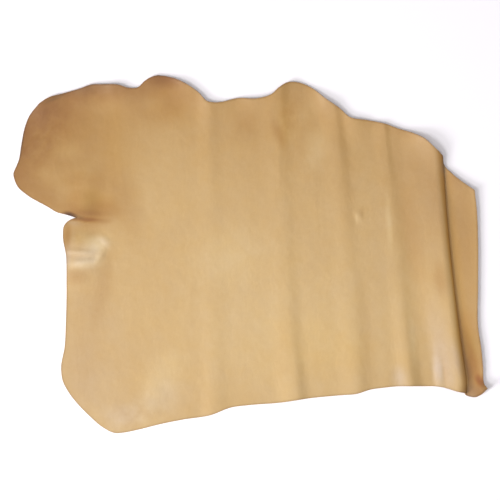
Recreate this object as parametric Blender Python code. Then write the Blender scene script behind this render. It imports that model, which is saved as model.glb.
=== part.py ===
"""A natural vegetable-tanned leather hide (a shoulder cut with its shank), laid on the ground grain side up.

Metres, +Z up, ground at z = 0. The origin is on the ground below the middle of the hide. +X runs from the
neck edge to the straight butt cut, +Y from the back edge to the belly edge. The sheet is flat where it
touches the ground. Soft ripples left by rolling run from edge to edge, and one of them, near the butt cut,
stands up as a pleat that hides a little of the hide's width.
"""

import bmesh
import bpy
import numpy as np

MM = 0.001
THICKNESS = 3.0 * MM
LEATHER_COLOUR = (0.62, 0.41, 0.20, 1.0)

# Edges, in millimetres (x, y). The back and belly edges are those of the flat hide, so beyond the pleat
# they count the width that it hides. The other edges are where they lie.
BACK_EDGE = (
    (-350, -442), (-336, -446), (-318, -445), (-282, -438), (-226, -424), (-166, -412), (-102, -402),
    (-47, -382), (0, -376), (75, -370), (133, -361), (232, -351), (265, -348), (298, -338), (332, -333),
    (373, -329), (431, -329), (473, -330), (501, -336), (518, -341), (537, -345), (547, -348), (553, -352),
    (562, -355), (575, -356), (587, -350), (597, -341), (603, -333),
)
BELLY_EDGE = (
    (-525, 378), (-505, 391), (-465, 403), (-426, 414), (-398, 424), (-362, 425), (-328, 424), (-306, 417),
    (-282, 417), (-260, 436), (-240, 446), (-214, 446), (-188, 440), (-160, 427), (-128, 405), (-104, 382),
    (-90, 380), (-27, 391), (17, 390), (54, 401), (73, 418), (94, 430), (120, 430), (158, 414), (187, 391),
    (231, 359), (246, 345), (292, 336), (336, 327), (367, 316), (413, 301), (435, 290), (454, 273),
    (474, 253), (485, 239), (490, 226), (497, 215), (507, 206), (518, 196), (566, 161),
)
NECK_EDGE = (
    (-350, -442), (-370, -430), (-398, -406), (-426, -378), (-453, -344), (-468, -315), (-472, -285),
    (-463, -230), (-460, -170), (-458, -79), (-459, 1), (-467, 47), (-464, 73), (-453, 85), (-435, 92),
)
SHANK_EDGE = (
    (-435, 92), (-461, 100), (-481, 105), (-505, 119), (-560, 151), (-580, 169), (-588, 186), (-591, 202),
    (-585, 218), (-579, 232), (-571, 276), (-563, 316), (-551, 346), (-525, 378),
)
BUTT_CUT = (
    (591, -333), (583, -309), (582, -278), (578, -228), (569, -162), (569, -76), (569, 36), (566, 113),
    (560, 161),
)

# Lines from the back edge to the belly edge: x where each meets the back edge, midway and where it meets
# the belly edge, in millimetres, and the mesh columns before it. The first is on flat ground, and the
# others are the crests of the ripples.
GUIDE_LINES = {
    "neck side": (-300, -300, -300, 9),
    "ripple 1": (-88, -95, -105, 7),
    "ripple 2": (118, 85, 72, 8),
    "ripple 3": (270, 246, 207, 7),
    "ripple 4": (401, 368, 332, 7),
}
CROWDING = 0.6  # how much closer the columns stand at a crest than on average
COLUMNS_TO_PLEAT = 3
STRIP_COLUMNS = 5

# Ripples, in millimetres: height at the back edge, midway and at the belly edge, the distance from the crest
# to the ground on its neck side, and that on its butt side at the back edge and at the belly edge.
RIPPLES = {
    "ripple 1": (3.8, 0.8, 3.4, 42, 68, 42),
    "ripple 2": (5.9, 1.7, 4.3, 58, 46, 46),
    "ripple 3": (5.0, 1.5, 4.9, 54, 57, 40),
    "ripple 4": (7.5, 1.4, 3.1, 38, 48, 25),
}

# The pleat's section at the back edge, midway and at the belly edge. Its foot is where it comes back to
# the ground. Angles are in degrees, and lengths and the flesh side's radii in millimetres. Over the
# shoulder it turns gently from the rise to a slope down, and over the nose it turns sharply into the wall.
PLEAT_FOOT_X = (549, 510, 482)
LEAD_RADIUS = (60, 150, 150)
RISE_ANGLE = (18, 9.5, 8)
SHOULDER_RADIUS = (26, 36, 40)
SHOULDER_FALL = (27, 24, 25)
NOSE_RADIUS = (8, 5, 3)
WALL_ANGLE = (92, 92, 92)
WALL_LENGTH = (1.5, 1, 1)
FOOT_RADIUS = (5, 4, 3.5)
FOOT_SWING = 8 * MM  # its back end swings this far back towards the neck
FOOT_SWING_SHARE = 0.09  # over this share of its length

# Raised places beside the notch between neck and shank, and by the back edge, in millimetres: centre x and
# y, half length and half width, turn from X in degrees, height.
SWELLS = {
    "shank root": (-410, 168, 88, 50, 84, 1.7),
    "neck side of the notch": (-432, -12, 88, 98, 0, 7.0),
    "lip": (-415, 31, 72, 34, 4, 2.4),
    "swell beside ripple 1": (-240, -362, 95, 38, 78, 1.6),
    "swell at the back corner": (-285, -395, 70, 40, 20, 1.4),
}

# The strip beyond the pleat curls up at the butt cut, and more at its back corner.
CURL_HEIGHT = 7 * MM
CURL_START = 0.1  # share of the strip's width that stays flat
CORNER_LIFT = 12 * MM
CORNER_SHARE = 0.1  # share of the strip's length that the corner takes

# The belly edge has dried a little off the ground, unevenly.
BELLY_LIFT = 9.5 * MM
BELLY_LIFT_REACH = 85 * MM

# Mesh rows from the back edge to the lip, to the notch, to the shank's tip and to the belly edge.
ROWS_IN_STRETCH = (16, 2, 8, 7)
LIP_POINT = (-464 * MM, 73 * MM)
NOTCH_POINT = (-435 * MM, 92 * MM)
SHANK_TIP = (-591 * MM, 202 * MM)


def curve_through(table, steps=10):
    """A smooth curve through the points, in metres: cubics whose slope at a point is the mean of the slopes
    on its two sides, the nearer side counting for more."""
    points = np.array(table, float) * MM
    gap = np.linalg.norm(np.diff(points, axis=0), axis=1)[:, None]
    side = np.diff(points, axis=0) / gap
    inner = (side[:-1] * gap[1:] + side[1:] * gap[:-1]) / (gap[1:] + gap[:-1])
    slope = np.concatenate([side[:1], inner, side[-1:]])
    t = np.linspace(0, 1, steps, endpoint=False)[None, :, None]
    start, end, run = points[:-1, None], points[1:, None], gap[:, None]
    curve = start * (1 + 2 * t) * (1 - t) ** 2 + end * t**2 * (3 - 2 * t)
    curve += run * t * (1 - t) * (slope[:-1, None] * (1 - t) - slope[1:, None] * t)
    return np.concatenate([curve.reshape(-1, 2), points[-1:]])


BACK = curve_through(BACK_EDGE)
BELLY = curve_through(BELLY_EDGE)


def level_y(flat_x, share):
    """y of the points that lie at this share of the way from the back edge to the belly edge."""
    back = np.interp(flat_x, *BACK.T)
    belly = np.interp(flat_x, *BELLY.T)
    return back + share * (belly - back)


def share_at(x, y):
    """The share of the way from the back edge to the belly edge at which a point lies."""
    back = np.interp(x, *BACK.T)
    belly = np.interp(x, *BELLY.T)
    return (y - back) / (belly - back)


def along(values, share):
    """The parabola through a value at the back edge, one midway and one at the belly edge."""
    back, midway, belly = values
    near_back = back * (1 - share) * (1 - 2 * share)
    return near_back + midway * 4 * share * (1 - share) + belly * share * (2 * share - 1)


def bump(distance, before, after):
    """1 at distance 0, falling smoothly to 0 at -before and at +after, and 0 beyond."""
    reach = np.where(distance < 0, before, after)
    return 0.5 + 0.5 * np.cos(np.pi * np.clip(distance / reach, -1, 1))


def ripple(distance, before, after):
    """As bump, but squared beyond the crest, so that the sheet falls away steeply there and runs out long."""
    rounded = bump(distance, before, after)
    return np.where(distance < 0, rounded, rounded**2)


def row_shares():
    """The rows' shares of the way from the back edge to the belly edge, with a row through each point where
    the neck side turns sharply."""
    turns = [share_at(*point) for point in (LIP_POINT, NOTCH_POINT, SHANK_TIP)]
    stops = [0.0, *turns, 1.0]
    rows = [
        np.linspace(start, end, count, endpoint=False)
        for start, end, count in zip(stops[:-1], stops[1:], ROWS_IN_STRETCH)
    ]
    return np.concatenate([*rows, [1.0]])


def neck_side_x(share):
    """x at which each row starts, on the neck edge or round the shank."""
    side = np.concatenate([curve_through(NECK_EDGE)[:-1], curve_through(SHANK_EDGE)])
    return np.interp(share, share_at(*side.T), side[:, 0])


def butt_cut_x(share):
    """x at which each row ends. The cut is nearly straight, so its share is read from y alone."""
    cut = curve_through(BUTT_CUT)
    cut_share = (cut[:, 1] - cut[0, 1]) / (cut[-1, 1] - cut[0, 1])
    return np.interp(share, cut_share, cut[:, 0])


def pleat_section(share):
    """(x, z, length) from the pleat's start, for each of its columns at each row. The sheet turns up, rises
    straight, turns over the shoulder and the nose into the wall, and turns out of the wall onto the
    ground. The rise is as long as it takes for the section to end on the ground."""
    rise = np.radians(along(RISE_ANGLE, share))
    turned = np.radians(along(SHOULDER_FALL, share))
    fall = np.radians(along(WALL_ANGLE, share))
    lead = along(LEAD_RADIUS, share) * MM
    shoulder = along(SHOULDER_RADIUS, share) * MM
    nose = along(NOSE_RADIUS, share) * MM
    wall = along(WALL_LENGTH, share) * MM
    foot = along(FOOT_RADIUS, share) * MM
    drop = shoulder * (np.cos(rise) - np.cos(turned)) + nose * (np.cos(turned) - np.cos(fall))
    drop += wall * np.sin(fall) + foot * (1 - np.cos(fall))
    rise_length = (drop - lead * (1 - np.cos(rise))) / np.sin(rise)
    level = np.zeros_like(share)
    stages = (  # columns, length, slope at its start, slope at its end
        (2, lead * rise, level, rise),
        (2, rise_length, rise, rise),
        (4, shoulder * (rise + turned), rise, -turned),
        (4, nose * (fall - turned), -turned, -fall),
        (1, wall, -fall, -fall),
        (5, foot * fall, -fall, level),
    )
    steps = []
    for count, length, start, end in stages:
        turn = (end - start) / count
        chord = length / count * np.sinc(turn / 2 / np.pi)
        for step in range(count):
            slope = start + turn * (step + 0.5)
            steps.append((chord * np.cos(slope), chord * np.sin(slope), length / count))
    return np.cumsum(steps, axis=0).transpose(1, 0, 2)


def columns_between(before, line, count, crowding):
    """Columns after one line up to and on the next, crowded towards both by the given amount."""
    part = np.arange(1, count + 1)[:, None] / count
    part = part - crowding * np.sin(2 * np.pi * part) / (2 * np.pi)
    return before + part * (line - before)


def ripple_height(x, share, lines):
    height = np.zeros_like(x)
    for name, (back, midway, belly, before, after_back, after_belly) in RIPPLES.items():
        crest = along((back, midway, belly), share) * MM
        after = after_back + share * (after_belly - after_back)
        height += crest * ripple(x - lines[name], before * MM, after * MM)
    return height


def swell_height(x, y):
    height = np.zeros_like(x)
    for centre_x, centre_y, half_long, half_wide, turn, top in SWELLS.values():
        cosine, sine = np.cos(np.radians(turn)), np.sin(np.radians(turn))
        to_x, to_y = x / MM - centre_x, y / MM - centre_y
        lengthwise, crosswise = to_x * cosine + to_y * sine, to_y * cosine - to_x * sine
        height += top * MM * bump(np.hypot(lengthwise / half_long, crosswise / half_wide), 1, 1)
    return height


def belly_height(flat_x, y):
    """How far the belly edge is lifted, less and less with the distance from it."""
    gap = level_y(flat_x, 1.0) - y
    unevenness = 0.6 + 0.25 * np.sin(flat_x / 0.031) + 0.15 * np.sin(flat_x / 0.0137 + 1)
    return BELLY_LIFT * unevenness * np.clip(1 - gap / BELLY_LIFT_REACH, 0, 1) ** 2


def curl_height(share):
    """How far the strip's columns are lifted: more towards the butt cut, and most at the back corner."""
    across = np.arange(1, STRIP_COLUMNS + 1)[:, None] / STRIP_COLUMNS
    curl = np.clip((across - CURL_START) / (1 - CURL_START), 0, 1) ** 1.5
    corner = across * np.clip(1 - share / CORNER_SHARE, 0, 1) ** 2
    return curl * CURL_HEIGHT + corner * CORNER_LIFT


def flesh_side():
    """Points of the flesh side, as an array (column, row, xyz). Columns run from the back edge to the belly
    edge along the ripples, and rows from the neck side to the butt cut."""
    share = row_shares()
    section_x, section_z, section_length = pleat_section(share)
    swing = FOOT_SWING * np.clip(1 - share / FOOT_SWING_SHARE, 0, 1) ** 2
    foot = along(PLEAT_FOOT_X, share) * MM - swing
    start = foot - section_x[-1]
    lines = {name: along(values[:3], share) * MM for name, values in GUIDE_LINES.items()}

    columns = [neck_side_x(share)[None]]
    for name, line in lines.items():
        crowding = 0 if name == "neck side" else CROWDING
        columns.append(columns_between(columns[-1][-1], line, GUIDE_LINES[name][3], crowding))
    columns.append(columns_between(columns[-1][-1], start, COLUMNS_TO_PLEAT, CROWDING))
    columns.append(start + section_x)
    columns.append(columns_between(foot, butt_cut_x(share), STRIP_COLUMNS, 0))
    x = np.concatenate(columns)

    strip = slice(len(x) - STRIP_COLUMNS, len(x))
    pleat = slice(strip.start - len(section_x), strip.start)
    flat_x = x.copy()
    flat_x[pleat] = start + section_length
    flat_x[strip] += section_length[-1] - section_x[-1]
    y = level_y(flat_x, share)

    z = ripple_height(x, share, lines) + swell_height(x, y) + belly_height(flat_x, y)
    z[pleat] += section_z
    z[strip] += curl_height(share)
    return np.stack([x, y, z], axis=2)


def leather_material():
    material = bpy.data.materials.new("veg_tan_leather")
    material.use_nodes = True
    shader = material.node_tree.nodes["Principled BSDF"]
    shader.inputs["Base Color"].default_value = LEATHER_COLOUR
    shader.inputs["Roughness"].default_value = 0.5
    shader.inputs["Metallic"].default_value = 0.0
    return material


def make_hide():
    """The flesh side as a grid of quads that face up, with the sheet's thickness laid on top of it."""
    points = flesh_side()
    index = np.arange(points[..., 0].size).reshape(points.shape[:2])
    quads = np.stack([index[:-1, :-1], index[1:, :-1], index[1:, 1:], index[:-1, 1:]], axis=2)
    mesh = bpy.data.meshes.new("hide")
    mesh.from_pydata(points.reshape(-1, 3).tolist(), [], quads.reshape(-1, 4).tolist())
    mesh.materials.append(leather_material())
    mesh.shade_smooth()
    sheet = bmesh.new()
    sheet.from_mesh(mesh)
    for edge in sheet.edges:
        edge.smooth = not edge.is_boundary
    sheet.to_mesh(mesh)
    sheet.free()
    hide = bpy.data.objects.new("hide", mesh)
    bpy.context.collection.objects.link(hide)
    thickness = hide.modifiers.new("thickness", "SOLIDIFY")
    thickness.thickness = THICKNESS
    thickness.offset = 1.0
    thickness.use_even_offset = True


for leftover in list(bpy.data.objects):
    bpy.data.objects.remove(leftover, do_unlink=True)
make_hide()
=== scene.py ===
import bpy
import numpy as np
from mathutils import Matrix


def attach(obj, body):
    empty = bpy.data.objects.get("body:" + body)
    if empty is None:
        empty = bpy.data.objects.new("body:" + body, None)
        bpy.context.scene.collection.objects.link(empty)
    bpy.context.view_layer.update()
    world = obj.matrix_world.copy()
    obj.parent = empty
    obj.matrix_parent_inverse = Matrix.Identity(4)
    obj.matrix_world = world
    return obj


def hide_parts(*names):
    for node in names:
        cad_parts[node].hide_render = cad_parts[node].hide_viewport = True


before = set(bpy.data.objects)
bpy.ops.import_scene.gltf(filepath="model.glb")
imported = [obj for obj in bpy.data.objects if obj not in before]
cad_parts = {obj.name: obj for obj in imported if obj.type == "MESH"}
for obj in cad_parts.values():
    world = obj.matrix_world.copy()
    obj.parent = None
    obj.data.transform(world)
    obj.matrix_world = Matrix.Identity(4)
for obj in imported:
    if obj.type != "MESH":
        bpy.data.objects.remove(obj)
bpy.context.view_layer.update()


# ---------------------------------------------------------------- camera
# The camera hangs straight above the hide and looks down on it. It is far enough away that the raised
# pleat hardly hides what lies behind it.
MM = 0.001
LENS = 100.0  # mm
VIEW_WIDTH = 1.25  # metres of ground across the picture
VIEW_CENTRE = (0.0, 11.4 * MM)
FARTHEST_SEEN = 50.0  # metres

camera_data = bpy.data.cameras.new("overhead_camera")
camera_data.lens = LENS
camera_data.clip_end = FARTHEST_SEEN
camera = bpy.data.objects.new("overhead_camera", camera_data)
camera.location = (*VIEW_CENTRE, VIEW_WIDTH * LENS / camera_data.sensor_width)
bpy.context.collection.objects.link(camera)
bpy.context.scene.camera = camera
bpy.context.scene.view_settings.view_transform = "Standard"


# ---------------------------------------------------------------- light
# Soft studio light from three square panels. Two stand beyond the neck and the back edge, a low one that
# models the ripples and one above it, and a wide one hangs overhead. A white surround fills the shadows.
LAMPS = {  # direction it stands in and height, degrees; distance and size, metres; light it sheds
    "raking_panel": (212, 25, 7.5, 2.2, 0.31),
    "middle_panel": (205, 48, 6.5, 1.8, 0.37),
    "top_panel": (300, 84, 5.0, 4.0, 0.35),
}
SURROUND = 0.30

for name, (direction, height, distance, size, light) in LAMPS.items():
    turn, lean = np.radians(direction), np.radians(90 - height)
    lamp_data = bpy.data.lights.new(name, "AREA")
    lamp_data.shape = "SQUARE"
    lamp_data.size = size
    lamp_data.energy = light * np.pi**2 * distance**2 / np.cos(lean)
    lamp = bpy.data.objects.new(name, lamp_data)
    away = distance * np.sin(lean)
    lamp.location = (away * np.cos(turn), away * np.sin(turn), distance * np.cos(lean))
    lamp.rotation_euler = (0, lean, turn)
    bpy.context.collection.objects.link(lamp)
world = bpy.data.worlds.new("studio_surround")
world.use_nodes = True
world.node_tree.nodes["Background"].inputs["Color"].default_value = (1.0, 1.0, 1.0, 1.0)
world.node_tree.nodes["Background"].inputs["Strength"].default_value = SURROUND
bpy.context.scene.world = world


# ---------------------------------------------------------------- floor
# A plain pale studio floor that the hide lies on, painted matt. It is a backdrop and no part of the hide,
# and wide enough that its rim is out of sight from the side.
FLOOR_SIDE = 40.0
FLOOR_COLOUR = (0.93, 0.895, 0.935, 1.0)
FLOOR_ROUGHNESS = 0.9
FLOOR_DEPTH = 0.3 * MM  # it lies this far below the flesh side

half = FLOOR_SIDE / 2
floor_mesh = bpy.data.meshes.new("studio_floor")
floor_corners = [(-half, -half), (half, -half), (half, half), (-half, half)]
floor_mesh.from_pydata([(x, y, -FLOOR_DEPTH) for x, y in floor_corners], [], [(0, 1, 2, 3)])
floor = bpy.data.objects.new("studio_floor", floor_mesh)
bpy.context.collection.objects.link(floor)
floor_material = bpy.data.materials.new("floor_paint")
floor_material.use_nodes = True
floor_shader = floor_material.node_tree.nodes["Principled BSDF"]
floor_shader.inputs["Base Color"].default_value = FLOOR_COLOUR
floor_shader.inputs["Roughness"].default_value = FLOOR_ROUGHNESS
floor_mesh.materials.append(floor_material)


# ---------------------------------------------------------------- the cut
# One vegetable-tanned shoulder with its shank, 3 mm thick. Back, belly, neck and shank keep the animal's
# own outline, trimmed smooth, and the butt cut is the straight one that parted it from the rest.
THICKNESS = 3.0 * MM
BACK_EDGE = (  # x, y in mm on the flat hide, as are the belly edge's
    (-350, -442), (-336, -446), (-318, -445), (-282, -438), (-226, -424), (-166, -412), (-102, -402),
    (-47, -382), (0, -376), (75, -370), (133, -361), (232, -351), (265, -348), (298, -338), (332, -333),
    (373, -329), (431, -329), (473, -330), (501, -336), (518, -341), (537, -345), (547, -348), (553, -352),
    (562, -355), (575, -356), (587, -350), (597, -341), (603, -333),
)
BELLY_EDGE = (
    (-525, 378), (-505, 391), (-465, 403), (-426, 414), (-398, 424), (-362, 425), (-328, 424), (-306, 417),
    (-282, 417), (-260, 436), (-240, 446), (-214, 446), (-188, 440), (-160, 427), (-128, 405), (-104, 382),
    (-90, 380), (-27, 391), (17, 390), (54, 401), (73, 418), (94, 430), (120, 430), (158, 414), (187, 391),
    (231, 359), (246, 345), (292, 336), (336, 327), (367, 316), (413, 301), (435, 290), (454, 273),
    (474, 253), (485, 239), (490, 226), (497, 215), (507, 206), (518, 196), (566, 161),
)
NECK_EDGE = (  # x, y in mm where they lie, as are the shank's and the butt cut's
    (-350, -442), (-370, -430), (-398, -406), (-426, -378), (-453, -344), (-468, -315), (-472, -285),
    (-463, -230), (-460, -170), (-458, -79), (-459, 1), (-467, 47), (-464, 73), (-453, 85), (-435, 92),
)
SHANK_EDGE = (
    (-435, 92), (-461, 100), (-481, 105), (-505, 119), (-560, 151), (-580, 169), (-588, 186), (-591, 202),
    (-585, 218), (-579, 232), (-571, 276), (-563, 316), (-551, 346), (-525, 378),
)
BUTT_CUT = (
    (591, -333), (583, -309), (582, -278), (578, -228), (569, -162), (569, -76), (569, 36), (566, 113),
    (560, 161),
)


def curve_through(table, steps=16):
    """A smooth curve through the points, in metres: cubics whose slope at a point is the mean of the slopes
    on its two sides, the nearer side counting for more."""
    points = np.array(table, float) * MM
    gap = np.linalg.norm(np.diff(points, axis=0), axis=1)[:, None]
    side = np.diff(points, axis=0) / gap
    inner = (side[:-1] * gap[1:] + side[1:] * gap[:-1]) / (gap[1:] + gap[:-1])
    slope = np.concatenate([side[:1], inner, side[-1:]])
    t = np.linspace(0, 1, steps, endpoint=False)[None, :, None]
    start, end, run = points[:-1, None], points[1:, None], gap[:, None]
    curve = start * (1 + 2 * t) * (1 - t) ** 2 + end * t**2 * (3 - 2 * t)
    curve += run * t * (1 - t) * (slope[:-1, None] * (1 - t) - slope[1:, None] * t)
    return np.concatenate([curve.reshape(-1, 2), points[-1:]])


edges = (BACK_EDGE, BELLY_EDGE, NECK_EDGE, SHANK_EDGE, BUTT_CUT)
back, belly, neck, shank, butt = map(curve_through, edges)


def level_y(flat_x, share):
    """y of the points that lie at this share of the way from the back edge to the belly edge."""
    from_back = np.interp(flat_x, *back.T)
    return from_back + share * (np.interp(flat_x, *belly.T) - from_back)


def share_at(x, y):
    """The share of the way from the back edge to the belly edge at which a point lies."""
    from_back = np.interp(x, *back.T)
    return (y - from_back) / (np.interp(x, *belly.T) - from_back)


# ---------------------------------------------------------------- the lie
# The hide was stored rolled from its neck end, so it lies in long soft ripples from back to belly. Near
# the butt cut one of them stands up and turns over into a pleat, with a flat strip beyond it.
GUIDE_LINES = {  # x in mm at back edge, midway and belly edge, and mesh columns before it; four are crests
    "neck side": (-300, -300, -300, 46),
    "ripple 1": (-88, -95, -105, 30),
    "ripple 2": (118, 85, 72, 30),
    "ripple 3": (270, 246, 207, 26),
    "ripple 4": (401, 368, 332, 22),
}
RIPPLES = {  # mm: height at back, midway and belly; reach to neck side, to butt side at back and at belly
    "ripple 1": (3.8, 0.8, 3.4, 42, 68, 42),
    "ripple 2": (5.9, 1.7, 4.3, 58, 46, 46),
    "ripple 3": (5.0, 1.5, 4.9, 54, 57, 40),
    "ripple 4": (7.5, 1.4, 3.1, 38, 48, 25),
}
CROWDING = 0.5  # how much closer the columns stand at a crest than on average
COLUMNS_TO_PLEAT = 10
STRIP_COLUMNS = 14
ROWS_IN_STRETCH = (106, 7, 34, 38)  # back edge to lip, to notch, to the shank's tip, to the belly edge
LIP_POINT = (-464 * MM, 73 * MM)
NOTCH_POINT = (-435 * MM, 92 * MM)
SHANK_TIP = (-591 * MM, 202 * MM)

PLEAT_FOOT_X = (549, 510, 482)  # mm at the back edge, midway and at the belly edge, as in the tables below
LEAD_RADIUS = (60, 150, 150)  # from flat ground into the rise
RISE_ANGLE = (18, 9.5, 8)  # degrees
SHOULDER_RADIUS = (26, 36, 40)  # over the crest
SHOULDER_FALL = (27, 24, 25)  # degrees
NOSE_RADIUS = (8, 5, 3)  # from the shoulder into the wall
WALL_ANGLE = (92, 92, 92)  # degrees
WALL_LENGTH = (1.5, 1, 1)
FOOT_RADIUS = (5, 4, 3.5)  # from the wall on to the strip
SECTION_COLUMNS = (6, 10, 8, 8, 2, 9)  # in lead, rise, shoulder, nose, wall and foot

FOOT_SWING = 8 * MM  # the pleat's back end swings this far back towards the neck
FOOT_SWING_SHARE = 0.09  # share of the pleat's length that swings

CURL_HEIGHT = 7 * MM
CURL_START = 0.1  # share of the strip's width that stays flat
CURL_ONSET = 1.5  # power: the higher, the later the strip turns up
CORNER_LIFT = 12 * MM
CORNER_SHARE = 0.1  # share of the strip's length that the corner takes


def along(values, share):
    """The parabola through a value at the back edge, one midway and one at the belly edge."""
    at_back, midway, at_belly = values
    near_back = at_back * (1 - share) * (1 - 2 * share)
    return near_back + midway * 4 * share * (1 - share) + at_belly * share * (2 * share - 1)


def bump(distance, before, after):
    """1 at distance 0, falling as a cosine to 0 at -before and at +after, and 0 beyond."""
    reach = np.where(distance < 0, before, after)
    return 0.5 + 0.5 * np.cos(np.pi * np.clip(distance / reach, -1, 1))


def ripple(distance, before, after):
    """As bump, but squared beyond the crest, so that the sheet falls steeply there and runs out long."""
    rounded = bump(distance, before, after)
    return np.where(distance < 0, rounded, rounded**2)


def row_shares():
    """Shares of the way from back to belly, evenly spaced in each stretch between the neck side's turns."""
    stops = [0.0, *(share_at(*point) for point in (LIP_POINT, NOTCH_POINT, SHANK_TIP)), 1.0]
    runs = zip(stops[:-1], stops[1:], ROWS_IN_STRETCH)
    return np.concatenate([*(np.linspace(a, b, count, endpoint=False) for a, b, count in runs), [1.0]])


def columns_between(before, line, count, crowding):
    """Columns after one line up to and on the next: even spacing, less a sine that crowds both ends."""
    part = np.arange(1, count + 1)[:, None] / count
    part = part - crowding * np.sin(2 * np.pi * part) / (2 * np.pi)
    return before + part * (line - before)


def pleat_section(share):
    """(x, z, length) from the pleat's start, a column at a time. Each piece of the section has a length and
    a slope at each end. Short chords at the mean slope are added up, and the straight rise is as long as
    it takes to end on the ground."""
    rise, turned, fall = (
        np.radians(along(angles, share)) for angles in (RISE_ANGLE, SHOULDER_FALL, WALL_ANGLE)
    )
    pieces = (LEAD_RADIUS, SHOULDER_RADIUS, NOSE_RADIUS, WALL_LENGTH, FOOT_RADIUS)
    lead, shoulder, nose, wall, foot = (along(sizes, share) * MM for sizes in pieces)
    drop = shoulder * (np.cos(rise) - np.cos(turned)) + nose * (np.cos(turned) - np.cos(fall))
    drop += wall * np.sin(fall) + foot * (1 - np.cos(fall))
    rise_length = (drop - lead * (1 - np.cos(rise))) / np.sin(rise)
    level = np.zeros_like(share)
    stages = (  # length, slope at its start, slope at its end
        (lead * rise, level, rise),
        (rise_length, rise, rise),
        (shoulder * (rise + turned), rise, -turned),
        (nose * (fall - turned), -turned, -fall),
        (wall, -fall, -fall),
        (foot * fall, -fall, level),
    )
    steps = []
    for count, (length, start, end) in zip(SECTION_COLUMNS, stages):
        turn = (end - start) / count
        chord = length / count * np.sinc(turn / 2 / np.pi)
        for step in range(count):
            slope = start + turn * (step + 0.5)
            steps.append((chord * np.cos(slope), chord * np.sin(slope), length / count))
    return np.cumsum(steps, axis=0).transpose(1, 0, 2)


share = row_shares()
neck_side = np.concatenate([neck[:-1], shank])
butt_share = (butt[:, 1] - butt[0, 1]) / (butt[-1, 1] - butt[0, 1])
row_start = np.interp(share, share_at(*neck_side.T), neck_side[:, 0])
row_end = np.interp(share, butt_share, butt[:, 0])
section_x, section_z, section_length = pleat_section(share)
foot_swing = FOOT_SWING * np.clip(1 - share / FOOT_SWING_SHARE, 0, 1) ** 2
foot_x = along(PLEAT_FOOT_X, share) * MM - foot_swing
pleat_start = foot_x - section_x[-1]
lines = {name: along(values[:3], share) * MM for name, values in GUIDE_LINES.items()}

columns = [row_start[None]]
for name, line in lines.items():
    crowding = 0 if name == "neck side" else CROWDING
    columns.append(columns_between(columns[-1][-1], line, GUIDE_LINES[name][3], crowding))
columns.append(columns_between(columns[-1][-1], pleat_start, COLUMNS_TO_PLEAT, CROWDING))
columns.append(pleat_start + section_x)
columns.append(columns_between(foot_x, row_end, STRIP_COLUMNS, 0))
x = np.concatenate(columns)
strip = slice(len(x) - STRIP_COLUMNS, len(x))
pleat = slice(strip.start - len(section_x), strip.start)
flat_x = x.copy()
flat_x[pleat] = pleat_start + section_length
flat_x[strip] += section_length[-1] - section_x[-1]
y = level_y(flat_x, share)

z = np.zeros_like(x)
z[pleat] = section_z
for name, (at_back, midway, at_belly, before, after_back, after_belly) in RIPPLES.items():
    height = along((at_back, midway, at_belly), share) * MM
    after = after_back + share * (after_belly - after_back)
    z += height * ripple(x - lines[name], before * MM, after * MM)
across = np.arange(1, STRIP_COLUMNS + 1)[:, None] / STRIP_COLUMNS
curl = np.clip((across - CURL_START) / (1 - CURL_START), 0, 1) ** CURL_ONSET
corner_turn = across * np.clip(1 - share / CORNER_SHARE, 0, 1) ** 2
z[strip] += curl * CURL_HEIGHT + corner_turn * CORNER_LIFT


# ---------------------------------------------------------------- swells and wrinkles
# Round the notch the shank was pulled while the hide dried, so the leather swells and wrinkles there.
# Elsewhere there are small puckers and dips, and the belly edge has dried a little off the ground.
SWELLS = {  # centre x and y, half length and half width, turn in degrees, height, all lengths in mm
    "shank root": (-410, 168, 88, 50, 84, 1.7),
    "neck side of the notch": (-432, -12, 88, 98, 0, 7.0),
    "notch crease": (-410, 89, 54, 10, -3, -3.4),
    "lip swell": (-415, 31, 72, 34, 4, 2.4),
    "lip wrinkle's turned end": (-362, 36, 30, 15, -47, 1.6),
    "upper lip wrinkle": (-424, 6, 50, 10, -4, 2.1),
    "lower lip wrinkle": (-413, -19, 50, 12, 7, 2.1),
    "between the lip wrinkles": (-430, -8, 40, 7, 2, -0.6),
    "turned end's tail": (-372, -2, 34, 12, 60, 1.7),
    "pucker beside ripple 3": (271, 96, 28, 8, -72, 2.1),
    "dip in the pleat's rise": (487, -310, 60, 12, -86, -1.3),
    "swell before the dip": (470, -300, 72, 15, -88, 1.9),
    "ripple 2's sharp place": (72, 232, 95, 11, -89, 0.6),
    "swell beside ripple 1": (-240, -362, 95, 38, 78, 1.6),
    "swell at the back corner": (-285, -395, 70, 40, 20, 1.4),
    "hollow at the back corner": (-318, -330, 75, 32, -8, -1.2),
}
BELLY_LIFT = 9.5 * MM
BELLY_LIFT_REACH = 85 * MM
MEAN_LIFT = 0.6  # share of the lift that the two waves play about
LIFT_WAVES = ((0.25, 31 * MM, 0), (0.15, 13.7 * MM, 1))  # share, metres to a radian, start in radians


def patch(centre_x, centre_y, half_long, half_wide, turn):
    """1 at the centre of an ellipse and 0 on its rim and beyond, falling as a cosine. The ellipse is turned
    anticlockwise from X, and its sizes are in mm."""
    cosine, sine = np.cos(np.radians(turn)), np.sin(np.radians(turn))
    to_x, to_y = x / MM - centre_x, y / MM - centre_y
    lengthwise, crosswise = to_x * cosine + to_y * sine, to_y * cosine - to_x * sine
    return bump(np.hypot(lengthwise / half_long, crosswise / half_wide), 1, 1)


for centre_x, centre_y, half_long, half_wide, turn, height in SWELLS.values():
    z += height * MM * patch(centre_x, centre_y, half_long, half_wide, turn)
to_belly_edge = level_y(flat_x, 1.0) - y
unevenness = MEAN_LIFT + sum(part * np.sin(flat_x / pitch + start) for part, pitch, start in LIFT_WAVES)
z += BELLY_LIFT * unevenness * np.clip(1 - to_belly_edge / BELLY_LIFT_REACH, 0, 1) ** 2
z = np.maximum(z, 0)  # nothing goes below the ground


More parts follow.
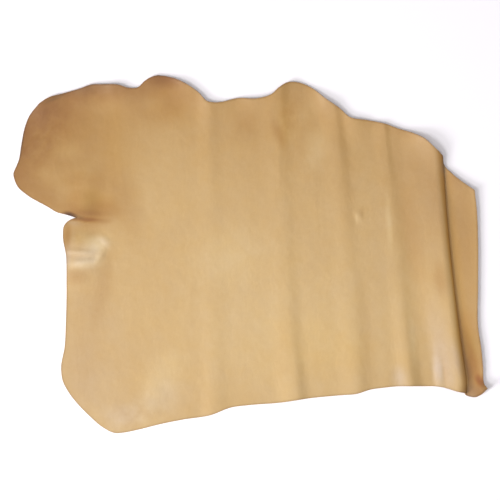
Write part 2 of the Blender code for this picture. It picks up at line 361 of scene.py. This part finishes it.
# ---------------------------------------------------------------- the sheet
# The shoulder itself, one piece of leather. The mesh is its flesh side, which lies on the ground, and the
# thickness is raised on it. Its cut edge is dressed: the sharp corners have been taken off all round.
EDGE_ROUNDING = 0.7 * MM
SHARPEST_LEFT = 60  # degrees: a corner that turns more than this is rounded

index = np.arange(x.size).reshape(x.shape)
quads = np.stack([index[:-1, :-1], index[1:, :-1], index[1:, 1:], index[:-1, 1:]], axis=2).reshape(-1, 4)
hide_mesh = bpy.data.meshes.new("shoulder_hide")
hide_mesh.from_pydata(np.stack([x, y, z], axis=2).reshape(-1, 3), [], quads)
hide_mesh.shade_smooth()
hide = bpy.data.objects.new("shoulder_hide", hide_mesh)
bpy.context.collection.objects.link(hide)
thickness = hide.modifiers.new("thickness", "SOLIDIFY")
thickness.thickness = THICKNESS
thickness.offset = 1.0
thickness.use_even_offset = True
thickness.material_offset = 1
thickness.material_offset_rim = 2
rounding = hide.modifiers.new("edge_dressing", "BEVEL")
rounding.width = EDGE_ROUNDING
rounding.segments = 2
rounding.limit_method = "ANGLE"
rounding.angle_limit = np.radians(SHARPEST_LEFT)
rounding.harden_normals = True


# ---------------------------------------------------------------- how deep the tan went, and painted light
# Vegetable tan goes deeper into the loose belly and shank than into the firm back, and oil and handling
# darken edges. Some dark patches are painted shade: in the pleat's crease and beside it, in the notch and
# its crease, and on the shank root's swell. Some pale ones are painted highlights: on the lip wrinkles, on
# the pleat's rise and on ripple 4's crest. Each place below is a soft patch that is darker or paler than
# the rest.
TAN_AND_PAINTED_LIGHT = {  # centre x and y, half length and half width, turn in degrees; lengths in mm; depth of tan or of painted shade, below 0 paler
    "whole sheet": (0, 0, 9000, 9000, 0, 0.25),
    "belly side": (50, 510, 900, 475, -8, 0.35),
    "shank": (-525, 310, 350, 260, 0, 0.54),
    "shank's neck rim": (-575, 285, 200, 105, 65, 0.66),
    "shank's lower rim": (-525, 145, 155, 65, -30, 0.4),
    "shank's belly corner": (-485, 385, 155, 100, 35, 0.42),
    "shank's belly rim": (-375, 435, 200, 75, 0, 0.65),
    "rim of the first belly flap": (-210, 445, 85, 40, -5, 0.73),
    "first belly flap": (-225, 400, 150, 110, 0, 0.38),
    "lip's pale edge": (-436, 89, 22, 8, 10, 0.46),
    # Painted shade in the notch crease and on the shank root swell's far flank.
    "notch crease": (-405, 87, 46, 9, -2, 0.85),
    "shank root": (-388, 150, 95, 36, 82, 0.31),
    "middle of the shank root": (-432, 182, 60, 36, 0, 0.19),
    "lip's left rim": (-457, 45, 60, 18, 88, 0.49),
    "shank's top rim": (-520, 400, 130, 22, 22, -0.6),
    "beside the shank root": (-320, 135, 150, 80, -70, 0.28),
    "lip": (-410, 60, 85, 35, 0, 0.18),
    # Painted highlights: the pale lip wrinkles stand in for light on their lit flanks.
    "upper lip wrinkle": (-383, 22, 58, 40, 40, -0.38),
    "lower lip wrinkle": (-412, -20, 65, 25, 5, -0.36),
    "under the lip": (-435, -55, 45, 30, 0, 0.24),
    "stain by ripple 2's belly end": (100, 365, 60, 30, -75, 0.06),
    "stain on the belly side": (-10, 325, 50, 65, 0, 0.14),
    "stain below it": (70, 305, 65, 20, -68, 0.21),
    "pale by the second flap": (165, 265, 85, 45, 80, -0.2),
    "dark on the hump": (475, -65, 70, 28, -82, 0.24),
    "pale on the second flap": (150, 365, 70, 40, 60, -0.11),
    # Painted highlight by ripple 4's crest near the back edge.
    "pale by ripple 4's crest": (375, -309, 40, 26, -80, -0.07),
    "stain on the shank": (-445, 335, 75, 45, 0, 0.07),
    "pale on the shank's tip": (-520, 330, 60, 55, 40, -0.15),
    "butt side": (465, 160, 300, 190, -80, 0.25),
    "strip": (545, -40, 400, 65, -86, 0.29),
    # Painted shade that the pleat casts on the strip's back end.
    "strip's back end": (560, -250, 155, 55, -78, 0.42),
    "back corner of the strip": (566, -344, 52, 34, 0, 0.55),
    "pale back": (100, -190, 475, 300, 0, -0.15),
    "pale middle": (-55, 0, 150, 125, 0, -0.13),
    "pale back corner": (-225, -335, 150, 75, 70, -0.18),
    "pale neck corner": (-335, -425, 100, 75, -20, -0.08),
    "neck band": (-405, -190, 325, 85, 85, 0.08),
    "band beside the lip": (-365, -75, 150, 30, 78, 0.14),
    "band on ripple 2": (90, -200, 150, 50, 85, 0.08),
    "band on ripple 3": (290, -190, 225, 35, -86, 0.07),
    "band beyond ripple 3": (240, 160, 300, 35, -86, 0.06),
    "butt band": (405, 35, 225, 40, -80, 0.16),
    "belly rim at the butt": (350, 325, 175, 30, -18, 0.14),
    # Painted shade above the notch crease.
    "above the notch crease": (-398, 113, 100, 46, -3, 0.6),
    "streak up from the notch": (-383, 172, 105, 22, 88, -0.05),
    # Painted highlight: the pale streak on the pleat's rise.
    "streak on the rise": (467, -287, 70, 18, -86, -0.1),
    "beside the streak": (490, -296, 55, 12, -84, 0.2),
    # Painted highlight on the streak's butt side.
    "butt side of the streak": (476, -300, 45, 8, -88, -0.1),
    # Painted shade where the pleat rolls off before the crease's foot.
    "before the crease's foot": (527, -298, 50, 9, -82, 0.13),
    "behind ripple 4": (405, -209, 110, 15, -84, -0.16),
    # Painted highlight on ripple 4's lit crest.
    "crest of ripple 4": (347, 85, 110, 12, -86, -0.22),
    "shoulder by the crease": (474, 90, 220, 14, -79, 0.06),
    "flap 1 spot": (-240, 378, 50, 38, 0, -0.18),
    "neck of the shank": (-455, 258, 55, 35, 0, -0.2),
    # Painted shade on the strip beside the crease.
    "strip's crease side": (556, -262, 110, 18, -77, 0.37),
    # Painted shadow in the pinch of the notch, and painted shade on both sides of the notch and at the foot
    # of the shank root's swell.
    "pinch of the notch": (-450, 100, 24, 11, -14, 1.0),
    "upper side of the notch": (-405, 101, 68, 17, -3, 0.38),
    "lower side of the notch": (-395, 79, 66, 20, 0, 0.18),
    "foot of the shank root's swell": (-422, 150, 62, 24, 0, 0.26),
    # Painted shadow of the fold above the strip's corner.
    "above the strip's corner": (575, -315, 27, 16, -55, 0.95),
    "loose skin above the notch": (-397, 126, 62, 42, 80, -0.5),
    "strip's olive place": (553, -230, 75, 34, -80, -0.45),
    "shade beyond the crease": (550, -296, 66, 13, -79, 0.3),
    # Painted light: a paler band at the crease's foot that lightens its shade.
    "foot of the crease's back end": (540, -305, 60, 6, -84, -0.4),
    "strip's belly end": (508, 190, 45, 25, -45, 0.15),
    # Painted highlight on the crest of the upper lip wrinkle.
    "crest of the upper lip wrinkle": (-425, 4, 48, 8, -2, -0.17),
    "pale on the shank's neck side": (-537, 286, 65, 40, 70, -0.23),
    "dark at the shank's corner": (-492, 372, 48, 38, 20, -0.09),
    # Painted highlight above the lip wrinkles.
    "above the lip wrinkles": (-405, 40, 48, 13, 0, -0.12),
    # Painted shade at the far end of the notch crease.
    "far end of the notch crease": (-364, 84, 30, 11, 0, 0.28),
    "middle of the lip": (-416, 52, 28, 14, 0, -0.14),
    # Painted highlight on the turned end's tail.
    "turned end's tail": (-381, -6, 22, 11, 60, -0.14),
    # Painted highlight and painted shade on the pucker's lit and shaded sides.
    "pale side of the pucker": (267, 92, 24, 8, -72, -0.15),
    "dark side of the pucker": (280, 106, 22, 7, -85, 0.12),
}
WARMED = {  # the same, and last how far the colour goes towards orange, or below 0 towards cream; the marked ones are painted highlights and warm painted shade
    "neck side": (-400, -250, 350, 150, 90, -0.81),
    "shank": (-525, 310, 350, 260, 0, 0.93),
    "shank root": (-387, 149, 90, 38, 80, 0.92),
    "beside the shank": (-342, 261, 200, 50, 90, 0.82),
    "shank's neck rim": (-575, 285, 200, 60, 65, -0.52),
    "shank's belly rim": (-450, 425, 200, 40, 0, -3.27),
    "first belly flap": (-190, 365, 90, 70, 0, 0.87),
    "lip": (-385, 10, 70, 50, 30, -0.31),
    # Painted highlight: cream on the lip wrinkles.
    "lip wrinkles": (-425, -5, 70, 55, 5, -1.25),
    "lip's upper edge": (-440, 80, 38, 15, -8, -1.6),
    "back corner": (-225, -370, 130, 70, 20, -1.22),
    "middle of the back": (175, -239, 220, 130, 0, 0.72),
    "ripple 2": (95, -60, 420, 40, 88, 0.08),
    # Painted highlights: cream on the pleat's rise and on ripple 4's crest.
    "rise before the crease": (478, -240, 210, 45, -80, -1.67),
    "crest of ripple 4": (375, -309, 50, 32, -80, -2.25),
    "strip": (545, -40, 400, 65, -86, 0.48),
    # Warm painted shade that the pleat casts on the strip's back end.
    "strip's back end": (548, -240, 150, 42, -80, 1.7),
    "back corner of the strip": (566, -344, 50, 34, 0, -2.0),
    # Painted shadow, purplish, at the crease's belly end.
    "belly end of the crease": (480, 212, 30, 14, -75, -2.4),
    "middle of the shank": (-430, 175, 70, 60, 0, 0.62),
    # Painted highlight: cream on the streak on the rise.
    "streak on the rise": (467, -287, 80, 22, -86, -1.9),
    "beside the streak": (492, -310, 50, 12, -80, 0.21),
    "neck low corner": (-400, -330, 120, 90, -50, -0.67),
    "back corner tip": (-320, -410, 70, 60, 0, -1.38),
    "ripple 3 and 4": (320, 0, 350, 60, 85, -0.17),
    "butt side": (465, 160, 250, 110, -80, -0.78),
    "middle": (0, 60, 250, 160, 0, -0.05),
    "belly middle": (30, 330, 200, 110, 0, 0.22),
    "beyond ripple 4": (430, -150, 240, 50, -84, 0.21),
    # Warm painted shade above the notch crease and in it.
    "above the notch crease": (-398, 125, 95, 55, 0, 1.7),
    "notch crease": (-405, 87, 50, 12, -2, 1.8),
    # Painted highlight: cream on the hump's back end.
    "hump's back end": (495, -295, 120, 30, -80, -0.6),
    "lip's left end": (-455, 0, 70, 14, 88, -1.82),
    "lip's neck side": (-442, 42, 58, 14, 90, -0.8),
    # Warm painted shade on the strip beside the crease and on the notch's upper side.
    "strip's crease side": (553, -262, 150, 22, -77, 1.4),
    "upper side of the notch": (-405, 98, 66, 16, -3, 0.6),
    "stain by ripple 2's belly end": (95, 350, 75, 38, -75, 0.9),
    "loose skin above the notch": (-397, 126, 62, 42, 80, 2.2),
    "strip's olive place": (553, -230, 75, 34, -80, 2.2),
    "before the crease's back end": (516, -262, 70, 18, -76, -1.6),
    # Warm painted shade in the crease's back end and in the fold's shadow above the strip's corner.
    "crease's back end": (544, -314, 55, 12, -86, 2.8),
    "above the strip's corner": (576, -315, 28, 17, -55, 5.2),
    "first flap's rim": (-225, 405, 60, 26, 0, 0.93),
    # Painted highlight: cream on the lip wrinkle's turned end.
    "lip wrinkle's turned end": (-365, 32, 32, 17, -45, -1.0),
    "ripple 2's belly side": (83, 300, 75, 26, 90, 1.04),
    "second flap's butt side": (175, 378, 62, 40, -35, -0.35),
}
GRIME_AND_PAINTED_SHADE = {  # the same, and last how much grime lies in the grain; at the marked places it is painted shadow
    "shank": (-470, 260, 300, 200, 0, 0.08),
    "shank's tip rim": (-574, 270, 75, 8, 79, 0.5),
    "shank's upper rim": (-490, 389, 40, 8, 22, 0.35),
    # Painted shadow in the pinch of the notch and at its inner end.
    "pinch of the notch": (-450, 98, 26, 11, -14, 0.95),
    "inner end of the pinch": (-425, 93, 20, 9, -18, 0.3),
    "corner's inner rim": (545, -352, 16, 10, -60, 0.15),
    "corner's lower rim": (568, -358, 30, 9, 0, 0.35),
    # Painted shadow at the crease's belly end.
    "belly end of the crease": (482, 226, 28, 10, -86, 0.35),
    "corner's outer rim": (583, -331, 26, 8, -68, 0.35),
    "loose skin above the notch": (-397, 126, 62, 42, 80, 0.38),
    "strip's olive place": (553, -230, 75, 34, -80, 0.33),
    "shade beyond the crease": (547, -299, 62, 13, -79, 0.1),
}
COCKLED = {  # the same, and last how cockled the grain is there
    "shank's tip": (-520, 300, 180, 110, 62, 1.0),
    "shank's upper rim": (-400, 400, 160, 45, 3, 0.6),
    "back corner": (-290, -405, 150, 50, 17, 0.6),
    "root of the second flap": (95, 350, 90, 70, 90, 0.5),
}
# The crease's dark band is painted shade, and the warm band beside it is painted bounce light from the
# pleat's wall.
CREASE_PAINTED_SHADE = (0.42, 0.36, 0.3)  # at the back edge, midway and at the belly edge, as all the crease's
CREASE_WARMTH = (-1.0, 2.6, 1.0)
CREASE_BEFORE_FOOT = (3, 4.5, 5)  # mm from the dark's middle to the pleat's foot
CREASE_NECK_SIDE = (22, 9, 21)  # mm the dark reaches to either side of its middle
CREASE_BUTT_SIDE = (22, 12, 12)
GLOW_BEYOND = 9  # mm from the dark's middle to that of the warm band of painted bounce light beside it
GLOW_REACH = (12, 32)  # mm to its neck side and to its butt side
RIM_BLOCKS = 60  # the rim's distances are worked out in so many blocks, to spare memory


def total(patches):
    """The sum of the patches, each with its own strength, at every vertex."""
    return sum(strength * patch(*place) for *place, strength in patches.values())


def outline_gap():
    """Distance of every vertex from the nearest point of the sheet's rim, in mm."""
    places = np.stack([x, y], axis=2)
    rim = np.concatenate([places[0], places[-1], places[:, 0], places[:, -1]])
    blocks = np.array_split(places.reshape(-1, 2), RIM_BLOCKS)
    gaps = [np.sqrt(((block[:, None] - rim) ** 2).sum(axis=2)).min(axis=1) for block in blocks]
    return np.concatenate(gaps).reshape(x.shape) / MM


# Painted shade along the pleat's crease, and painted bounce light on the strip beside it.
from_crease = (x - foot_x) / MM + along(CREASE_BEFORE_FOOT, share)
crease = bump(from_crease, along(CREASE_NECK_SIDE, share), along(CREASE_BUTT_SIDE, share))
glow = bump(from_crease - GLOW_BEYOND, *GLOW_REACH)
surface_values = {
    "tan_and_painted_light": total(TAN_AND_PAINTED_LIGHT) + along(CREASE_PAINTED_SHADE, share) * crease,
    "warmth": total(WARMED) + along(CREASE_WARMTH, share) * (crease + glow),
    "grime_and_painted_shade": total(GRIME_AND_PAINTED_SHADE),
    "cockled": total(COCKLED),
    "rim_gap": outline_gap(),
}
for name, values in surface_values.items():
    attribute = hide_mesh.attributes.new(name, "FLOAT", "POINT")
    attribute.data.foreach_set("value", values.ravel().astype(np.float32))
loop_vertex = np.empty(len(hide_mesh.loops), np.int32)
hide_mesh.loops.foreach_get("vertex_index", loop_vertex)
flat_place = np.stack([flat_x, y], axis=2).reshape(-1, 2)
hide_mesh.uv_layers.new(name="flat_metres").data.foreach_set("uv", flat_place[loop_vertex].ravel())


# ---------------------------------------------------------------- the grain side
# The hair side, smooth and a little glossy, in vegetable tan. It shows hair pores, a net of fine wrinkles,
# growth lines across the neck, healed scratches, tan that took unevenly, and the painted shade and
# highlights laid on the sheet.
PALE = (0.585, 0.412, 0.20)  # red, green and blue of the leather before any tan
ABSORBED = (0.62, 1.0, 1.70)  # how fast each of red, green and blue is lost as the tan gets deeper
ORANGED = (-0.03, 0.0, 0.15)  # the same for a turn towards orange


def add_node(tree, kind, inputs, **settings):
    """Adds a node, and sets each named or numbered input, linking it where the value is another socket."""
    made = tree.nodes.new(kind)
    for name, value in settings.items():
        setattr(made, name, value)
    for name, value in inputs.items():
        if isinstance(value, bpy.types.NodeSocket):
            tree.links.new(value, made.inputs[name])
        else:
            made.inputs[name].default_value = value
    return made


def calculate(tree, operation, *values, clamp=False):
    """The output of a Math node for these values."""
    inputs = dict(enumerate(values))
    return add_node(tree, "ShaderNodeMath", inputs, operation=operation, use_clamp=clamp).outputs[0]


def move_by(tree, operation, place, amount):
    """The output of a Vector Math node for a place and an amount, which is a number for SCALE."""
    second = "Scale" if operation == "SCALE" else 1
    inputs = {0: place, second: amount}
    return add_node(tree, "ShaderNodeVectorMath", inputs, operation=operation).outputs[0]


def noise_at(tree, place, scale, layers, output="Fac"):
    """An output of a Noise node at a place: how many patches to a metre, and how many finer layers."""
    inputs = {"Vector": place, "Scale": scale, "Detail": layers}
    return add_node(tree, "ShaderNodeTexNoise", inputs).outputs[output]


def add_all(tree, *values):
    """The sum of several sockets."""
    result = values[0]
    for value in values[1:]:
        result = calculate(tree, "ADD", result, value)
    return result


def new_group(name, inputs, outputs):
    """An empty node group with these inputs (name to kind or to a number) and outputs."""
    tree = bpy.data.node_groups.new(name, "ShaderNodeTree")
    for sockets, way in ((inputs, "INPUT"), (outputs, "OUTPUT")):
        for socket_name, kind in sockets.items():
            is_number = isinstance(kind, float)
            socket_kind = "NodeSocketFloat" if is_number else kind
            socket = tree.interface.new_socket(socket_name, in_out=way, socket_type=socket_kind)
            if is_number:
                socket.default_value = kind
    return tree, tree.nodes.new("NodeGroupInput").outputs, tree.nodes.new("NodeGroupOutput").inputs


# Leather colour: each of red, green and blue is its pale value times e to the power of minus its loss. Tan,
# warmth, grime and the painted shade and highlights laid on the sheet all add to the loss.
leather_colour, given, result = new_group(
    "leather_colour", {"Depth": 0.0, "Warmth": 0.0, "Grime And Painted Shade": 0.0}, {"Colour": "NodeSocketColor"}
)
channels = {}
for channel, pale, absorbed, oranged in zip(("Red", "Green", "Blue"), PALE, ABSORBED, ORANGED):
    loss = calculate(leather_colour, "MULTIPLY", given["Depth"], -absorbed)
    loss = calculate(leather_colour, "MULTIPLY_ADD", given["Warmth"], -oranged, loss)
    loss = calculate(leather_colour, "SUBTRACT", loss, given["Grime And Painted Shade"])
    channels[channel] = calculate(leather_colour, "MULTIPLY", calculate(leather_colour, "EXPONENT", loss), pale)
joined = add_node(leather_colour, "ShaderNodeCombineColor", channels)
leather_colour.links.new(joined.outputs["Color"], result["Colour"])

# Cloudiness: soft noise about nought, of a given patch size, worth up to the amount either way.
cloudiness, given, result = new_group(
    "cloudiness",
    {"Place": "NodeSocketVector", "Patch Size": 0.05, "Amount": 0.05, "Layers": 2.0},
    {"Value": "NodeSocketFloat"},
)
patches_to_metre = calculate(cloudiness, "DIVIDE", 1.0, given["Patch Size"])
cloud_noise = noise_at(cloudiness, given["Place"], patches_to_metre, given["Layers"])
whole_swing = calculate(cloudiness, "MULTIPLY", given["Amount"], 2.0)
centred = calculate(cloudiness, "SUBTRACT", cloud_noise, 0.5)
cloud_value = calculate(cloudiness, "MULTIPLY", centred, whole_swing)
cloudiness.links.new(cloud_value, result["Value"])

# Fibre lines: noise drawn out along one direction, which wanders with a second, larger noise.
WANDERS_TO_METRE = 18.0
fibre_lines, given, result = new_group(
    "fibre_lines",
    {"Place": "NodeSocketVector", "Direction": 0.0, "Width": 0.001, "Length": 0.02, "Wander": 0.01},
    {"Value": "NodeSocketFloat"},
)
wander = noise_at(fibre_lines, given["Place"], WANDERS_TO_METRE, 1.0, "Color")
wander = move_by(fibre_lines, "SUBTRACT", wander, (0.5, 0.5, 0.5))
wander = move_by(fibre_lines, "SCALE", wander, given["Wander"])
moved = move_by(fibre_lines, "ADD", given["Place"], wander)
turn_inputs = {"Vector": moved, "Angle": given["Direction"]}
turned = add_node(fibre_lines, "ShaderNodeVectorRotate", turn_inputs, rotation_type="Z_AXIS").outputs[0]
lengthwise = calculate(fibre_lines, "DIVIDE", 1.0, given["Length"])
crosswise = calculate(fibre_lines, "DIVIDE", 1.0, given["Width"])
stretch = add_node(fibre_lines, "ShaderNodeCombineXYZ", {"X": lengthwise, "Y": crosswise, "Z": crosswise})
drawn_out = move_by(fibre_lines, "MULTIPLY", turned, stretch.outputs[0])
fibre_lines.links.new(noise_at(fibre_lines, drawn_out, 1.0, 2.0), result["Value"])

# Rim wear: 1 at the rim, falling to 0 at an uneven reach in mm from it.
RAGS_TO_METRE = 45.0
WEAR_FALL = 1.5  # power: the higher, the nearer the wear keeps to the rim
rim_wear, given, result = new_group(
    "rim_wear", {"Place": "NodeSocketVector", "Gap": 0.0, "Reach": 8.0}, {"Value": "NodeSocketFloat"}
)
ragged = calculate(rim_wear, "ADD", noise_at(rim_wear, given["Place"], RAGS_TO_METRE, 2.0), 0.5)
uneven_reach = calculate(rim_wear, "MULTIPLY", given["Reach"], ragged)
used_up = calculate(rim_wear, "DIVIDE", given["Gap"], uneven_reach)
wear_left = calculate(rim_wear, "SUBTRACT", 1.0, used_up, clamp=True)
rim_wear.links.new(calculate(rim_wear, "POWER", wear_left, WEAR_FALL), result["Value"])


def group_value(tree, group, inputs):
    """The output of a node group that has one output."""
    return add_node(tree, "ShaderNodeGroup", inputs, node_tree=group).outputs[0]


def clouds_at(tree, place, size, amount, layers):
    """Cloudiness: patch size in metres, amount either way, and how many finer layers."""
    inputs = {"Place": place, "Patch Size": size, "Amount": amount, "Layers": layers}
    return group_value(tree, cloudiness, inputs)


def fibres_at(tree, place, direction, width, length, wander):
    """Fibre lines: direction in radians; a line's width and length and how far it wanders, in metres."""
    inputs = {"Place": place, "Direction": direction, "Width": width, "Length": length, "Wander": wander}
    return group_value(tree, fibre_lines, inputs)


def weighted(tree, values, weights):
    """Each named value times its own weight."""
    return [calculate(tree, "MULTIPLY", values[name], weight) for name, weight in weights.items()]


def close_to_nought(tree, value, gain):
    """1 where a value is 0, falling to 0 where the value times the gain reaches 1."""
    return calculate(tree, "SUBTRACT", 1.0, calculate(tree, "MULTIPLY", value, gain), clamp=True)


def set_bump(tree, shader, height, distance):
    """Raises the surface by this height times the distance in metres."""
    relief = add_node(tree, "ShaderNodeBump", {"Height": height, "Strength": 1.0, "Distance": distance})
    tree.links.new(relief.outputs["Normal"], shader.inputs["Normal"])


def leather_material(name):
    """A new leather material: its tree, its shader, the place on the flat sheet and the values laid on it.
    It is added to the sheet's own list, on which the grain side has to be first, the flesh side second and
    the cut edge third, because that is the order that the thickness reads."""
    material = bpy.data.materials.new(name)
    material.use_nodes = True
    hide_mesh.materials.append(material)
    tree = material.node_tree
    place = add_node(tree, "ShaderNodeUVMap", {}, uv_map="flat_metres").outputs["UV"]
    laid_on = {
        attribute: add_node(tree, "ShaderNodeAttribute", {}, attribute_name=attribute).outputs["Fac"]
        for attribute in surface_values
    }
    return tree, tree.nodes["Principled BSDF"], place, laid_on


TAN_CLOUDS = ((0.11, 0.05, 2.0), (0.035, 0.035, 2.0), (0.009, 0.03, 2.0))  # patch size, amount, layers
HUE_CLOUDS = ((0.07, 0.6, 1.0), (0.02, 0.35, 1.0))
GLOSS_CLOUD = (0.03, 0.05, 3.0)
COCKLE_CLOUD = (0.035, 0.38, 3.0)
COCKLE_HEIGHT = (0.028, 1.6, 1.0)
GROWTH_LINES = (1.52, 0.011, 0.35, 0.05)  # direction in radians; width, length and wander in metres
SCRATCHES = (-0.6, 0.0016, 0.06, 0.03)
PUCKERS = (-0.9, 0.011, 0.04, 0.02)
SCRATCH_FROM = 0.72  # only the strongest of the scratch lines show
SCRATCH_CONTRAST = 5.0
PORES_TO_METRE = 900.0
PORE_GAIN = 2.6
NET_TO_METRE = 260.0
WRINKLE_GAIN = 9.0
NET_WAVE = (220.0, 0.004)  # waves to a metre, and metres that they shift the net
WORN_REACH = 6.0  # mm
DEPTH_WEIGHTS = {"growth": 0.07, "pore": 0.10, "wrinkle": 0.04, "scratch": -0.10, "worn rim": 0.15}
HEIGHT_WEIGHTS = {"pore": -0.30, "wrinkle": -0.16, "growth": 1.2, "scratch": -0.35, "puckers": 4.0}
PUCKER_DEPTH = 0.2
WORN_GRIME = 0.3
WORN_ROUGHNESS = 0.1
PORE_ROUGHNESS = 0.15
GRAIN_ROUGHNESS = 0.43
GRAIN_RELIEF = 0.00025  # metres

tree, shader, place, laid_on = leather_material("grain_side")
grain = {}
pores = add_node(tree, "ShaderNodeTexVoronoi", {"Vector": place, "Scale": PORES_TO_METRE}, feature="F1")
grain["pore"] = close_to_nought(tree, pores.outputs["Distance"], PORE_GAIN)
wave = move_by(tree, "SCALE", noise_at(tree, place, NET_WAVE[0], 1.0, "Color"), NET_WAVE[1])
net_inputs = {"Vector": move_by(tree, "ADD", place, wave), "Scale": NET_TO_METRE}
net = add_node(tree, "ShaderNodeTexVoronoi", net_inputs, feature="DISTANCE_TO_EDGE")
grain["wrinkle"] = close_to_nought(tree, net.outputs["Distance"], WRINKLE_GAIN)
grain["growth"] = calculate(tree, "SUBTRACT", fibres_at(tree, place, *GROWTH_LINES), 0.5)
strong = calculate(tree, "SUBTRACT", fibres_at(tree, place, *SCRATCHES), SCRATCH_FROM, clamp=True)
grain["scratch"] = calculate(tree, "MULTIPLY", strong, SCRATCH_CONTRAST, clamp=True)
rim_inputs = {"Place": place, "Gap": laid_on["rim_gap"], "Reach": WORN_REACH}
grain["worn rim"] = group_value(tree, rim_wear, rim_inputs)
pucker_lines = calculate(tree, "SUBTRACT", fibres_at(tree, place, *PUCKERS), 0.5)
grain["puckers"] = calculate(tree, "MULTIPLY", pucker_lines, laid_on["cockled"])
# The laid-on tan, warmth and grime also hold painted shade in the creases and the notch, and pale painted
# highlights.
depth = add_all(
    tree,
    laid_on["tan_and_painted_light"],
    *(clouds_at(tree, place, *cloud) for cloud in TAN_CLOUDS),
    *weighted(tree, grain, DEPTH_WEIGHTS),
    calculate(tree, "MULTIPLY", clouds_at(tree, place, *COCKLE_CLOUD), laid_on["cockled"]),
    calculate(tree, "MULTIPLY", grain["puckers"], PUCKER_DEPTH),
)
warmth = add_all(tree, *(clouds_at(tree, place, *cloud) for cloud in HUE_CLOUDS), laid_on["warmth"])
grime_and_painted_shade = calculate(tree, "MULTIPLY_ADD", grain["worn rim"], WORN_GRIME, laid_on["grime_and_painted_shade"])
colour = group_value(tree, leather_colour, {"Depth": depth, "Warmth": warmth, "Grime And Painted Shade": grime_and_painted_shade})
tree.links.new(colour, shader.inputs["Base Color"])
roughness = calculate(tree, "MULTIPLY_ADD", grain["pore"], PORE_ROUGHNESS, GRAIN_ROUGHNESS)
roughness = add_all(tree, clouds_at(tree, place, *GLOSS_CLOUD), roughness)
roughness = calculate(tree, "MULTIPLY_ADD", grain["worn rim"], WORN_ROUGHNESS, roughness)
tree.links.new(roughness, shader.inputs["Roughness"])
height = add_all(tree, clouds_at(tree, place, *COCKLE_HEIGHT), *weighted(tree, grain, HEIGHT_WEIGHTS))
set_bump(tree, shader, height, GRAIN_RELIEF)


# ---------------------------------------------------------------- the flesh side
# The inner side, shaved to thickness and never finished: paler, matt and fibrous, with the shaving
# knife's faint marks.
NAP = (0.3, 0.0009, 0.006, 0.02)  # direction in radians; width, length and wander in metres
SHAVING_MARKS = (1.5, 0.006, 0.25, 0.004)
FLESH_CLOUD = (0.06, 0.12, 4.0)
FLESH_RIM_REACH = 5.0  # mm
TAN_SEEN = 0.35  # share of the grain side's tan, with its painted shade and highlights, that shows on this side
FLESH_DEPTH_WEIGHTS = {"nap": 0.35, "shaving": 0.15}
SHAVING_HEIGHT = 0.8
FLESH_PALER = 0.12
FLESH_WARMTH = -1.1
FLESH_ROUGHNESS = 0.92
FLESH_SHEEN = 0.25
FLESH_RELIEF = 0.0008  # metres

tree, shader, place, laid_on = leather_material("flesh_side")
flesh = {
    "nap": calculate(tree, "SUBTRACT", fibres_at(tree, place, *NAP), 0.5),
    "shaving": calculate(tree, "SUBTRACT", fibres_at(tree, place, *SHAVING_MARKS), 0.5),
}
flesh_clouds = clouds_at(tree, place, *FLESH_CLOUD)
rim_inputs = {"Place": place, "Gap": laid_on["rim_gap"], "Reach": FLESH_RIM_REACH}
depth = add_all(
    tree,
    calculate(tree, "MULTIPLY", laid_on["tan_and_painted_light"], TAN_SEEN),
    flesh_clouds,
    *weighted(tree, flesh, FLESH_DEPTH_WEIGHTS),
    group_value(tree, rim_wear, rim_inputs),
)
depth = calculate(tree, "SUBTRACT", depth, FLESH_PALER)
tree.links.new(
    group_value(tree, leather_colour, {"Depth": depth, "Warmth": FLESH_WARMTH}), shader.inputs["Base Color"]
)
shader.inputs["Roughness"].default_value = FLESH_ROUGHNESS
shader.inputs["Sheen Weight"].default_value = FLESH_SHEEN
height = add_all(
    tree, flesh["nap"], calculate(tree, "MULTIPLY", flesh["shaving"], SHAVING_HEIGHT), flesh_clouds
)
set_bump(tree, shader, height, FLESH_RELIEF)


# ---------------------------------------------------------------- the cut edge
# Where the knife went through the leather. The fibres show in layers between the two sides, a little
# darker than the grain side from handling.
LAYER_GRAIN = (120.0, 120.0, 2600.0)  # patches to a metre along x, y and z: thin and wide, like the layers
LAYER_DEPTH = 0.9
EDGE_CLOUD = (0.015, 0.2, 2.0)
EDGE_TAN = 0.6  # share of the grain side's tan, with its painted shade and highlights, that shows
EDGE_DARKER = 0.35
EDGE_WARMTH = -0.6
EDGE_ROUGHNESS = 0.7
EDGE_RELIEF = 0.0006  # metres

tree, shader, place, laid_on = leather_material("cut_edge")
solid_place = add_node(tree, "ShaderNodeTexCoord", {}).outputs["Object"]
layered_place = move_by(tree, "MULTIPLY", solid_place, LAYER_GRAIN)
layers = calculate(tree, "SUBTRACT", noise_at(tree, layered_place, 1.0, 2.0), 0.5)
depth = add_all(
    tree,
    calculate(tree, "MULTIPLY_ADD", laid_on["tan_and_painted_light"], EDGE_TAN, EDGE_DARKER),
    calculate(tree, "MULTIPLY", layers, LAYER_DEPTH),
    clouds_at(tree, solid_place, *EDGE_CLOUD),
)
# The cut edge takes the sheet's grime and painted shadow too.
edge_inputs = {"Depth": depth, "Warmth": EDGE_WARMTH, "Grime And Painted Shade": laid_on["grime_and_painted_shade"]}
tree.links.new(group_value(tree, leather_colour, edge_inputs), shader.inputs["Base Color"])
shader.inputs["Roughness"].default_value = EDGE_ROUGHNESS
set_bump(tree, shader, layers, EDGE_RELIEF)


# ---------------------------------------------------------------- handing over
# The sheet stands for the solid hide and rides on the ground with it. Flat, it is as long as it lies plus
# the width that the pleat hides.
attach(hide, "root")
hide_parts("hide")
